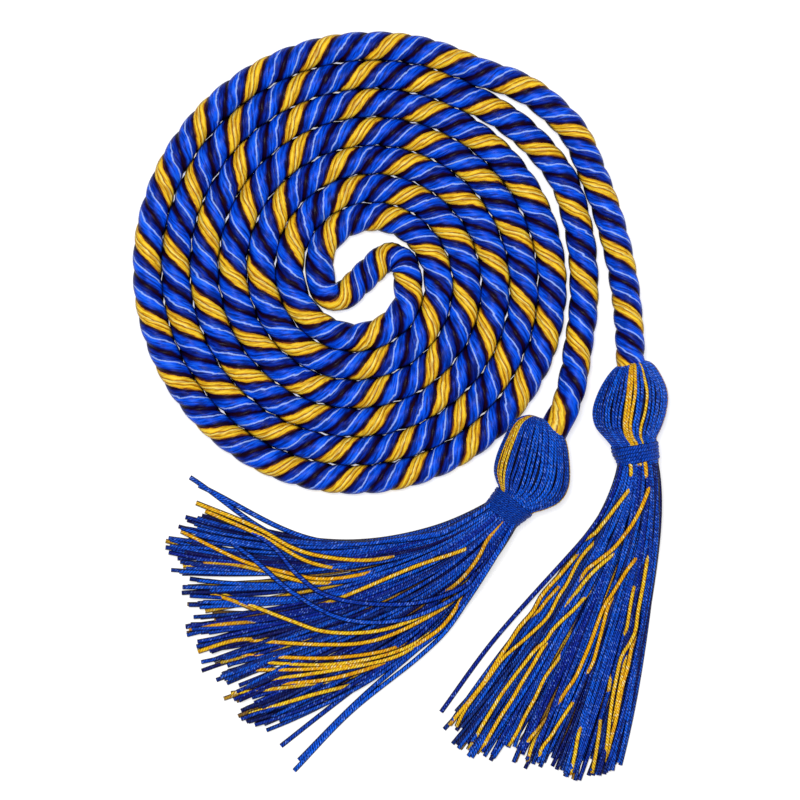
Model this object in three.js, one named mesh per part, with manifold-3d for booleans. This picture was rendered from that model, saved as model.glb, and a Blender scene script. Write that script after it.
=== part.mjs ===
// Honor cord: one long twisted rope laid flat in a double spiral, with a bound tassel at each end.
// Millimetres, +Z up. Everything lies on the plane z = 0, with the origin under the middle of the rope.
import * as THREE from "three";
import { mergeVertices } from "three/addons/utils/BufferGeometryUtils.js";
import Module from "manifold-3d";

// Rope, measured across its flats
const ropeDiameter = 6.7;
const ropeSides = 8;
const strandGap = 0.425;

// Coil: both arms run out from a fold at the middle
const armStart = 1.765; // radius where an arm leaves the fold, in strand spacings
const rightArmTurns = 3.25;
const leftArmTurns = 2.75;
const rightArmAngle = 150; // degrees, counted from +X
const stepsPerTurn = 24;

// Tassel head, from the rope down to the neck
const headLength = 20.3;
const headWidth = 18.9;
const lyingFlatness = 0.88; // height over width of what rests on its side
const neckDiameter = 9.4;
const roundSides = 20;

// Binding round the neck
const bindingLength = 6.2;
const bindingWinds = 5;
const windThickness = 0.75;
const windGroove = 0.55; // thickness left between two winds, as a share of a wind

// Skirt
const skirtLength = 84;
const lockSides = 8;
const lockSteps = 10;
const lockRootWidth = 3.8;
const lockWidth = 7.4;
const lockThickness = 3.2;
const lockTipThickness = 2.2;
const strayWidth = 2;
const rootHold = 0.33; // how far a lock keeps its way at the neck, as a share of its reach
const tipHold = 0.38; // the same at its tip
const rootRounding = 2.4; // how much thinner the outer locks leave the round neck
const rootInset = 0.93; // height of a lock's root as a share of the neck there

// Between pieces that meet
const clearance = 0.3;

// Half of the fold at the middle, in strand spacings. The other half is the same turned round.
const foldHalf = [
  { x: 1.53, y: -0.05 },
  { x: 1.47, y: 0.33 },
  { x: 1.2, y: 0.63 },
  { x: 0.83, y: 0.7 },
  { x: 0.44, y: 0.42 },
];

// The rope's way from the coil to each head, in strand spacings. The rise is the share of the way
// from lying flat up to the middle of the head.
const rightLead = [
  { x: 5.16, y: 6.82, rise: 0 },
  { x: 6.05, y: 6.34, rise: 0 },
  { x: 7.33, y: 5.12, rise: 0 },
  { x: 7.97, y: 3.77, rise: 0 },
  { x: 8.48, y: 2.41, rise: 0 },
  { x: 8.85, y: 1.15, rise: 0 },
  { x: 9.15, y: -0.41, rise: 0.2 },
  { x: 9.26, y: -1.51, rise: 0.7 },
  { x: 9.31, y: -2.39, rise: 1 },
  { x: 9.33, y: -2.95, rise: 1 },
];
const leftLead = [
  { x: 4.42, y: 5.91, rise: 0 },
  { x: 5.53, y: 5.14, rise: 0 },
  { x: 6.33, y: 4.33, rise: 0 },
  { x: 7.05, y: 3.3, rise: 0 },
  { x: 7.42, y: 2.14, rise: 0 },
  { x: 7.65, y: 0.95, rise: 0 },
  { x: 7.72, y: -0.25, rise: 0 },
  { x: 7.68, y: -1.3, rise: 0 },
  { x: 7.5, y: -2.5, rise: 0.2 },
  { x: 7.3, y: -3.7, rise: 0.7 },
  { x: 7.05, y: -4.56, rise: 1 },
  { x: 6.8, y: -5.05, rise: 1 },
];

// Head outline: along from the rope to the neck, radius as a share of the head's half width
const headProfile = [
  { along: 0, radius: 0.36 },
  { along: 0.03, radius: 0.52 },
  { along: 0.09, radius: 0.68 },
  { along: 0.2, radius: 0.83 },
  { along: 0.35, radius: 0.94 },
  { along: 0.53, radius: 1 },
  { along: 0.7, radius: 0.96 },
  { along: 0.83, radius: 0.83 },
  { along: 0.93, radius: 0.67 },
];

// Each tassel lies its own way. Locks go round the fan in order: the tip lies at a turn in degrees
// and a reach in skirt lengths from the neck, and the lock ends running along tipTurn.
const rightTassel = {
  headTurn: 270,
  rootTurn: 266,
  rootFlare: 12,
  locks: [
    { turn: 232.9, reach: 0.95, tipTurn: 232 },
    { turn: 238, reach: 0.965, tipTurn: 236 },
    { turn: 242, reach: 0.965, tipTurn: 239 },
    { turn: 245.8, reach: 0.95, tipTurn: 242 },
    { turn: 249.5, reach: 0.945, tipTurn: 245 },
    { turn: 253.5, reach: 0.94, tipTurn: 249 },
    { turn: 257.7, reach: 0.947, tipTurn: 253 },
    { turn: 261.4, reach: 0.94, tipTurn: 257 },
    { turn: 264.9, reach: 0.905, tipTurn: 262 },
  ],
};
const leftTassel = {
  headTurn: 243,
  rootTurn: 227,
  rootFlare: 13,
  locks: [
    { turn: 172.6, reach: 0.92, tipTurn: 155, stray: true },
    { turn: 178.3, reach: 0.925, tipTurn: 160 },
    { turn: 184.4, reach: 0.975, tipTurn: 170 },
    { turn: 190.2, reach: 0.975, tipTurn: 178 },
    { turn: 195.8, reach: 0.96, tipTurn: 184 },
    { turn: 201.1, reach: 0.98, tipTurn: 190 },
    { turn: 205.6, reach: 0.985, tipTurn: 194 },
    { turn: 210.1, reach: 0.98, tipTurn: 198 },
    { turn: 215.2, reach: 0.97, tipTurn: 202 },
    { turn: 220.5, reach: 0.95, tipTurn: 205 },
    { turn: 226.7, reach: 0.945, tipTurn: 213, stray: true },
    { turn: 231.2, reach: 0.97, tipTurn: 225, stray: true },
  ],
};

const strandSpacing = ropeDiameter + strandGap;
const ropeHeight = ropeDiameter / 2;
const headHeight = (headWidth / 2) * lyingFlatness;
const neckEnd = headLength + bindingLength + 2 * clearance;

const wasm = await Module();
wasm.setup();

function heading(degrees) {
  const angle = THREE.MathUtils.degToRad(degrees);
  return new THREE.Vector3(Math.cos(angle), Math.sin(angle), 0);
}

// Points of one arm of the coil, from the fold outwards
function armPoints(startAngle, turns) {
  const steps = Math.round(turns * stepsPerTurn);
  return Array.from({ length: steps + 1 }, (_, i) => {
    const turned = i / stepsPerTurn;
    const radius = strandSpacing * (armStart + 2 * turned);
    const point = heading(startAngle - 360 * turned).multiplyScalar(radius);
    point.z = ropeHeight;
    return point;
  });
}

function leadPoints(rows) {
  return rows.map(
    ({ x, y, rise }) =>
      new THREE.Vector3(
        x * strandSpacing,
        y * strandSpacing,
        THREE.MathUtils.lerp(ropeHeight, headHeight, rise),
      ),
  );
}

// A run through given points, with one cross-section at each of them
class PointRun extends THREE.Curve {
  constructor(points) {
    super();
    this.points = points;
  }
  getPoint(share) {
    const last = this.points.length - 1;
    return this.points[Math.round(share * last)].clone();
  }
  getPointAt(share) {
    return this.getPoint(share);
  }
  getTangentAt(share) {
    const last = this.points.length - 1;
    const here = Math.round(share * last);
    const before = this.points[Math.max(here - 1, 0)];
    const after = this.points[Math.min(here + 1, last)];
    return after.clone().sub(before).normalize();
  }
}

// Rope section with a flat side down
function ropeSection() {
  const corner = ropeHeight / Math.cos(Math.PI / ropeSides);
  const corners = Array.from({ length: ropeSides }, (_, i) => {
    const angle = ((i + 0.5) * 2 * Math.PI) / ropeSides;
    return new THREE.Vector2(corner * Math.cos(angle), corner * Math.sin(angle));
  });
  return new THREE.Shape(corners);
}

function ropeGeometry(points) {
  return new THREE.ExtrudeGeometry(ropeSection(), {
    steps: points.length - 1,
    extrudePath: new PointRun(points),
    bevelEnabled: false,
  });
}

// The arms joined through the fold
function coilPoints() {
  const foldSteps = 40;
  const armJoin = 3; // points of each arm that shape the fold's ends
  const right = armPoints(rightArmAngle, rightArmTurns);
  const left = armPoints(rightArmAngle - 180, leftArmTurns);
  const half = foldHalf.map(
    ({ x, y }) => new THREE.Vector3(x * strandSpacing, y * strandSpacing, ropeHeight),
  );
  const otherHalf = half
    .map((p) => new THREE.Vector3(-p.x, -p.y, p.z))
    .reverse();
  const middle = new THREE.Vector3(0, 0, ropeHeight);
  const fold = new THREE.CatmullRomCurve3(
    [
      ...left.slice(0, armJoin).reverse(),
      ...half,
      middle,
      ...otherHalf,
      ...right.slice(0, armJoin),
    ],
    false,
    "centripetal",
  );
  return [
    ...left.slice(armJoin).reverse(),
    ...fold.getSpacedPoints(foldSteps),
    ...right.slice(armJoin),
  ];
}

// The rope from the end of an arm to the head
function leadRun(armEnd, beforeArmEnd, rows) {
  const leadSteps = 20;
  const out = armEnd.clone().sub(beforeArmEnd).normalize();
  const start = armEnd.clone().addScaledVector(out, clearance);
  const curve = new THREE.CatmullRomCurve3([start, ...leadPoints(rows)], false, "centripetal");
  return curve.getSpacedPoints(leadSteps);
}

function solidFrom(geometry) {
  const bare = new THREE.BufferGeometry();
  bare.setAttribute("position", geometry.getAttribute("position"));
  bare.setIndex(geometry.getIndex());
  const merged = mergeVertices(bare, 1e-4);
  return new wasm.Manifold(
    new wasm.Mesh({
      numProp: 3,
      vertProperties: merged.getAttribute("position").array,
      triVerts: new Uint32Array(merged.getIndex().array),
    }),
  );
}

function geometryFrom(solid) {
  const { vertProperties, triVerts } = solid.getMesh();
  const geometry = new THREE.BufferGeometry();
  geometry.setAttribute("position", new THREE.BufferAttribute(vertProperties, 3));
  geometry.setIndex(new THREE.BufferAttribute(triVerts, 1));
  geometry.computeVertexNormals();
  return geometry;
}

// A closed skin over rings of points, each ring going the same way round
function loft(rings) {
  const sides = rings[0].length;
  const positions = rings.flat().flatMap((p) => [p.x, p.y, p.z]);
  const index = [];
  for (let ring = 0; ring < rings.length - 1; ring++) {
    for (let side = 0; side < sides; side++) {
      const a = ring * sides + side;
      const b = ring * sides + ((side + 1) % sides);
      index.push(a, b, b + sides, a, b + sides, a + sides);
    }
  }
  const lastRing = (rings.length - 1) * sides;
  for (let side = 1; side < sides - 1; side++) {
    index.push(0, side + 1, side);
    index.push(lastRing, lastRing + side, lastRing + side + 1);
  }
  const geometry = new THREE.BufferGeometry();
  geometry.setAttribute("position", new THREE.Float32BufferAttribute(positions, 3));
  geometry.setIndex(index);
  return geometry;
}

// A turned form laid on its side along a heading, flattened, with its axis at the head's height
function layDown(geometry, top, turn) {
  const along = heading(turn);
  const aside = new THREE.Vector3(0, 0, 1).cross(along);
  const basis = new THREE.Matrix4().makeBasis(
    aside,
    along,
    new THREE.Vector3(0, 0, -lyingFlatness),
  );
  basis.setPosition(top);
  geometry.applyMatrix4(basis);
  return geometry;
}

function headAndNeck() {
  const neckRadius = neckDiameter / 2;
  const outline = [
    [0, 0],
    ...headProfile.map(({ along, radius }) => [(radius * headWidth) / 2, along * headLength]),
    [neckRadius, headLength],
    [neckRadius, neckEnd],
    [0, neckEnd],
  ].map(([radius, along]) => new THREE.Vector2(radius, along));
  return new THREE.LatheGeometry(outline, roundSides);
}

function bindingRing() {
  const inner = neckDiameter / 2 + clearance;
  const windLength = bindingLength / bindingWinds;
  const outline = [new THREE.Vector2(inner, 0)];
  for (let wind = 0; wind < bindingWinds; wind++) {
    for (const share of [0.1, 0.5, 0.9]) {
      const bulge = windGroove + (1 - windGroove) * Math.sin(Math.PI * share);
      outline.push(
        new THREE.Vector2(inner + windThickness * bulge, (wind + share) * windLength),
      );
    }
  }
  outline.push(new THREE.Vector2(inner, bindingLength));
  outline.push(new THREE.Vector2(inner, 0));
  return new THREE.LatheGeometry(outline, roundSides);
}

// One lock of the skirt: it leaves the neck, sinks to the surface and ends at its tip
function lockGeometry(neck, tassel, row, place) {
  const { headTurn, rootTurn, rootFlare } = tassel;
  const rootWay = heading(rootTurn + 2 * rootFlare * place);
  const across = heading(headTurn + 90);
  const spread = neckDiameter - lockRootWidth;
  const root = neck
    .clone()
    .addScaledVector(across, spread * place)
    .addScaledVector(heading(headTurn), -clearance / 2);
  const reach = row.reach * skirtLength;
  const tip = neck.clone().addScaledVector(heading(row.turn), reach);
  const path = new THREE.CubicBezierCurve3(
    root,
    root.clone().addScaledVector(rootWay, rootHold * reach),
    tip.clone().addScaledVector(heading(row.tipTurn), -tipHold * reach),
    tip,
  );
  const fullWidth = row.stray ? strayWidth : lockWidth;
  const rootShare = rootInset * Math.sqrt(1 - rootRounding * place * place);
  const rootHeight = neckDiameter * lyingFlatness * rootShare;
  const rings = [];
  for (let step = 0; step <= lockSteps; step++) {
    const share = step / lockSteps;
    const widen = THREE.MathUtils.smoothstep(share, 0.05, 0.6);
    const sink = THREE.MathUtils.smoothstep(share, 0.02, 0.42);
    const endHeight = THREE.MathUtils.lerp(
      row.stray ? strayWidth : lockThickness,
      row.stray ? strayWidth : lockTipThickness,
      share,
    );
    const width = THREE.MathUtils.lerp(lockRootWidth, fullWidth, widen);
    const height = THREE.MathUtils.lerp(rootHeight, endHeight, sink);
    const middle = path.getPoint(share);
    middle.z = THREE.MathUtils.lerp(neck.z, height / 2, sink);
    const along = step === 0 ? heading(headTurn) : path.getTangent(share).setZ(0).normalize();
    const aside = new THREE.Vector3(0, 0, 1).cross(along);
    rings.push(
      Array.from({ length: lockSides }, (_, side) => {
        const angle = ((side + 0.5) * 2 * Math.PI) / lockSides;
        const flat = Math.cos(Math.PI / lockSides);
        return middle
          .clone()
          .addScaledVector(aside, ((width / 2) * Math.cos(angle)) / flat)
          .setZ(middle.z + ((height / 2) * Math.sin(angle)) / flat);
      }),
    );
  }
  return loft(rings);
}

function tasselGeometry(ropeEnd, tassel) {
  const top = ropeEnd.clone().addScaledVector(heading(tassel.headTurn), clearance);
  const neck = top
    .clone()
    .addScaledVector(heading(tassel.headTurn), neckEnd);
  let solid = solidFrom(layDown(headAndNeck(), top, tassel.headTurn));
  tassel.locks.forEach((row, i) => {
    const place = i / (tassel.locks.length - 1) - 0.5;
    solid = solid.add(solidFrom(lockGeometry(neck, tassel, row, place)));
  });
  return geometryFrom(solid);
}

function bindingGeometry(ropeEnd, tassel) {
  const start = ropeEnd
    .clone()
    .addScaledVector(heading(tassel.headTurn), 2 * clearance + headLength);
  return layDown(bindingRing(), start, tassel.headTurn);
}

const ropeMaterial = new THREE.MeshStandardMaterial({
  color: 0x1c45b8,
  roughness: 0.45,
  metalness: 0,
});
const tasselMaterial = new THREE.MeshStandardMaterial({
  color: 0x1a4ec4,
  roughness: 0.6,
  metalness: 0,
});
const bindingMaterial = new THREE.MeshStandardMaterial({
  color: 0x123a94,
  roughness: 0.6,
  metalness: 0,
});

const honorCord = new THREE.Group();

function addPiece(name, geometry, material) {
  const piece = new THREE.Mesh(geometry, material.clone());
  piece.name = name;
  honorCord.add(piece);
}

const coil = coilPoints();
const rightRun = leadRun(coil.at(-1), coil.at(-2), rightLead);
const leftRun = leadRun(coil[0], coil[1], leftLead);

addPiece("cord_coil", ropeGeometry(coil), ropeMaterial);
addPiece("cord_right", ropeGeometry(rightRun), ropeMaterial);
addPiece("cord_left", ropeGeometry(leftRun), ropeMaterial);
addPiece("tassel_right", tasselGeometry(rightRun.at(-1), rightTassel), tasselMaterial);
addPiece("tassel_left", tasselGeometry(leftRun.at(-1), leftTassel), tasselMaterial);
addPiece("binding_right", bindingGeometry(rightRun.at(-1), rightTassel), bindingMaterial);
addPiece("binding_left", bindingGeometry(leftRun.at(-1), leftTassel), bindingMaterial);

export default honorCord;
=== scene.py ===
import math
import random

import bmesh
import bpy
import numpy as np
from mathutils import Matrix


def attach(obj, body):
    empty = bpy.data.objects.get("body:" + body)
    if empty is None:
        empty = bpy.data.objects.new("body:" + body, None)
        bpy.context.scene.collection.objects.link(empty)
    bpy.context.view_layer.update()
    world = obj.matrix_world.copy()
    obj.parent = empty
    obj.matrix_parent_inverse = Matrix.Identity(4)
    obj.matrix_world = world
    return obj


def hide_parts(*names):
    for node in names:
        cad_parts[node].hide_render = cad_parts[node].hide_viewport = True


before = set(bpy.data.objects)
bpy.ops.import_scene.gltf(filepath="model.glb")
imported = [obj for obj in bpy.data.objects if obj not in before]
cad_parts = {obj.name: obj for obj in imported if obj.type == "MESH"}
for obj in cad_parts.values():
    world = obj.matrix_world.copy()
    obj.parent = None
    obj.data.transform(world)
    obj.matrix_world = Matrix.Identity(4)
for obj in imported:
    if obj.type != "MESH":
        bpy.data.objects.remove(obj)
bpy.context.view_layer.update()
mm = 0.001


def shade(red, green, blue):  # screen colour out of 255, made linear
    return (*[(v / 255) ** 2.2 for v in (red, green, blue)], 1.0)


photo = {
    "pixels": 800,
    "mmPerPixel": 0.25,
    "coilX": 364,  # pixel of the coil's centre
    "coilY": 277,
}
studio = {
    "cameraHeight": 1.5,
    "sensor": 36,
    "floorSize": 4,
    "worldLight": 0.25,
    "paper": 0.62,
    "paperGlow": 0.52,
    "lights": [
        # place, size, watts
        ((-0.1, 0.16, 1.8), 0.45, 25),
        ((0.5, -0.5, 1.3), 0.9, 3),
    ],
    "aim": (0.01, -0.03, 0),
}
rope = {
    "spacing": 7.125 * mm,  # between neighbouring strands of the coil
    "height": 3.74 * mm,
    "armStart": 1.765,
    "rightTurns": 3.25,
    "leftTurns": 2.75,
    "armAngle": 150,
    "stepsPerTurn": 24,
    "radius": 3.72 * mm,
    "twistMarks": [  # mm along the rope where the gold ply lies on top, one for each turn
        1.7, 15.7, 31.8, 49.1, 64.3, 82.4, 101.4, 116.9, 134.3, 151.8, 169.2,
        186.3, 204.2, 221.6, 238.2, 255, 272.3, 288.5, 305.3, 321.8, 339.9, 356.6,
        373.9, 391.9, 408.6, 424.6, 442.2, 458.9, 476.2, 494.6, 513.8, 533.6, 551.6,
        569.4, 587.4, 606.2, 624.6, 642.1, 659.2, 676, 694.1, 713.7, 733.8, 752.4,
        771.6, 789.5, 803.1, 818.2, 839.8, 851.4, 862.2, 880.5, 896.9, 918, 936.4,
        951.6, 966.9, 984.4, 1002.8, 1018.9, 1035.4, 1053.4, 1070.8, 1089.1, 1107, 1124.2,
        1140.2, 1156.4, 1173.4, 1190.9, 1207.7, 1224.4, 1240.5, 1256.4, 1273.3, 1290.9, 1309.1,
        1327, 1344.4, 1362.1, 1379.9, 1397.3, 1413.6, 1430.3, 1447.6, 1464.8, 1482.7, 1499.9,
        1518.3,
    ],
    "intoHead": 4 * mm,
    "ringStep": 0.84 * mm,
    "plySides": (15, 15, 12),  # two blue plies, then the gold one
    "plyAngles": (132, 132, 96),
    # blue ply across, groove to groove: painted shade, maroon in the grooves and navy on the flanks,
    # round a painted lit crest
    "blueAcrossPaintedShading": [
        (0.0, shade(26, 0, 26)),
        (0.05, shade(30, 4, 44)),
        (0.09, shade(14, 26, 116)),
        (0.17, shade(16, 50, 168)),
        (0.23, shade(8, 30, 124)),
        (0.3, shade(12, 56, 180)),
        (0.38, shade(4, 50, 170)),
        (0.44, shade(0, 86, 242)),
        (0.58, shade(0, 84, 240)),
        (0.64, shade(2, 58, 190)),
        (0.7, shade(0, 80, 232)),
        (0.78, shade(4, 60, 194)),
        (0.85, shade(10, 26, 112)),
        (0.89, shade(26, 2, 42)),
        (1.0, shade(36, 0, 14)),
    ],
    # gold ply across: painted maroon shade in the grooves, painted pale highlight lines, and dark brown
    # lines between them
    "goldAcrossPaintedShading": [
        (0.0, shade(36, 0, 40)),
        (0.06, shade(84, 22, 36)),
        (0.1, shade(238, 176, 28)),
        (0.24, shade(255, 222, 66)),
        (0.35, shade(236, 172, 22)),
        (0.42, shade(120, 58, 4)),
        (0.48, shade(255, 236, 128)),
        (0.6, shade(244, 184, 24)),
        (0.68, shade(140, 74, 4)),
        (0.75, shade(255, 214, 56)),
        (0.89, shade(232, 166, 20)),
        (0.94, shade(60, 12, 40)),
        (1.0, shade(36, 0, 40)),
    ],
    "grooves": ((0.8, 0.72), (0.72, 0.8), (0.8, 0.8)),  # radius share in the grooves beside each ply
    "plyBow": 0.97,  # how far a ply's outline follows a round arc
    "twistBlur": (-3, -1.5, 0, 1.5, 3),  # mm over which the twist is evened out
}
sideShadePaint = {  # painted shade on the rope's sides, full between two turns of the coil
    "ringStep": 4,  # every fourth ring is compared
    "ownRings": 16,  # rings this close along the rope aren't another turn
    "near": (0.35, 0.7),  # spacings from the place beside it, where it is shut in and where it is free
    "sideSharpness": 4,
    "freeShade": 0.4,  # the painted shade on a side with no turn beside it
    "band": (0.28, 0.46),  # sine of the angle where the shade starts to fade and where it ends
}
head = {
    "length": 20.3 * mm,
    "width": 18.9 * mm,
    "flatness": 0.88,
    "threads": 56,
    "threadRadius": 0.54 * mm,
    "steps": 34,
    "sides": 8,
    "angleJitter": 0.8,  # degrees
    "sway": 1.3,  # degrees
    "insetJitter": (-0.1, 0.16),  # mm
    "aside": 4,  # degrees to the point that gives a thread's side
    "thickness": (0.94, 1.06),
    "tint": (0.3, 1),
    "coreInset": 0.7 * mm,
    "coreColumns": 41,
}
neck = {
    "binding": 6.2 * mm,
    "gap": 0.3 * mm,
}
binding = {
    "perTurn": 40,
    "bulges": 12,
    "bulge": 0.12,  # mm
    "startAngle": 200,
    "outside": 0.35 * mm,
    "thickness": 1.06,
    "sides": 10,
    "tint": 0.3,
}
skirt = {
    "length": 84 * mm,
    "threadRadius": 0.55 * mm,
    "runRadius": 0.63 * mm,
    "thickness": (0.94, 1.06),
    "lowest": 0.7 * mm,
    "steps": 46,
    "sides": 8,
    "rootAlong": 0.6,  # where the threads start, as a share of the binding
    "rootInset": 0.5 * mm,
    "rootShare": 0.92,
    "rootStray": 0.14,
    "rootRoom": 0.55,
    "rootEdge": 0.48,
    "tipHold": 0.38,
    "pathPoints": 24,
    "spread": 0.618034,  # golden step that spreads the threads evenly over the fan
    "turnJitter": 1.2,  # degrees
    "tipJitter": 6,  # degrees
    "reach": (0.93, 1.03),
    "layerStep": 0.62 * mm,
    "layers": 3.1,
    "neckRise": 3.6 * mm,
    "settle": (0.02, 0.42),  # shares of the length between which threads sink to the floor
    "sway": (0.2, 0.7),  # mm
    "swayStart": (0, 6.28),
    "swayBeat": (5, 11),
    "hidden": 3.6 * mm,  # depth at which a thread's painted shade is full
    "goldBelow": 0.3,
    "goldLevel": 0.6,
    "goldPlace": 0.42,
    # painted shade on threads lying under the others, on some at random among them, and a little on those
    # over the neck
    "deep": (0.7, 1),
    "darkAmong": 0.3,
    "darkDeep": (0.5, 0.85),
    "mantle": 26,  # threads that lie over the neck
    "mantleRest": (0.6, 1),
    "mantleDeep": (0, 0.25),
    "topAtTip": 2.7 * mm,
}
laid = {  # threads that follow listed points
    "neckZone": 0.12,  # a thread that starts this near the neck is in sight from its root
    "depthStep": 1.7,  # mm for each unit of depth
    "rootShare": 0.86,
    "rootEdge": 0.45,
    "seenLevel": 0.97,
    "hiddenLevel": 0.35,
    "firstSunk": 0.65 * mm,
    "leave": 0.36,
    "arrive": 0.16,
    "rise": ((0.25, 1), (0.5, 1), (0.78, 0.55)),  # share of the hidden way, share of the hidden depth
    "goldLift": 0.5,  # mm
    "blueLift": 1.1,  # mm
    "strayHeight": 1.2 * mm,
    "tipHeight": 1.6 * mm,
}
headHeight = head["width"] / 2 * head["flatness"]
neckEnd = head["length"] + neck["binding"] + 2 * neck["gap"]

# The rope's way, in strand spacings: half of the fold at the middle, then both leads
foldHalf = [(1.53, -0.05), (1.47, 0.33), (1.2, 0.63), (0.83, 0.7), (0.44, 0.42)]
rightLead = [
    (5.16, 6.82, 0),
    (6.05, 6.34, 0),
    (7.33, 5.12, 0),
    (7.97, 3.77, 0),
    (8.48, 2.41, 0),
    (8.85, 1.15, 0),
    (9.15, -0.41, 0.2),
    (9.26, -1.51, 0.7),
    (9.31, -2.39, 1),
    (9.33, -2.95, 1),
]
leftLead = [
    (4.42, 5.91, 0),
    (5.53, 5.14, 0),
    (6.33, 4.33, 0),
    (7.05, 3.3, 0),
    (7.42, 2.14, 0),
    (7.65, 0.95, 0),
    (7.72, -0.25, 0),
    (7.68, -1.3, 0),
    (7.5, -2.5, 0.2),
    (7.3, -3.7, 0.7),
    (7.05, -4.56, 1),
    (6.8, -5.05, 1),
]

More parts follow.
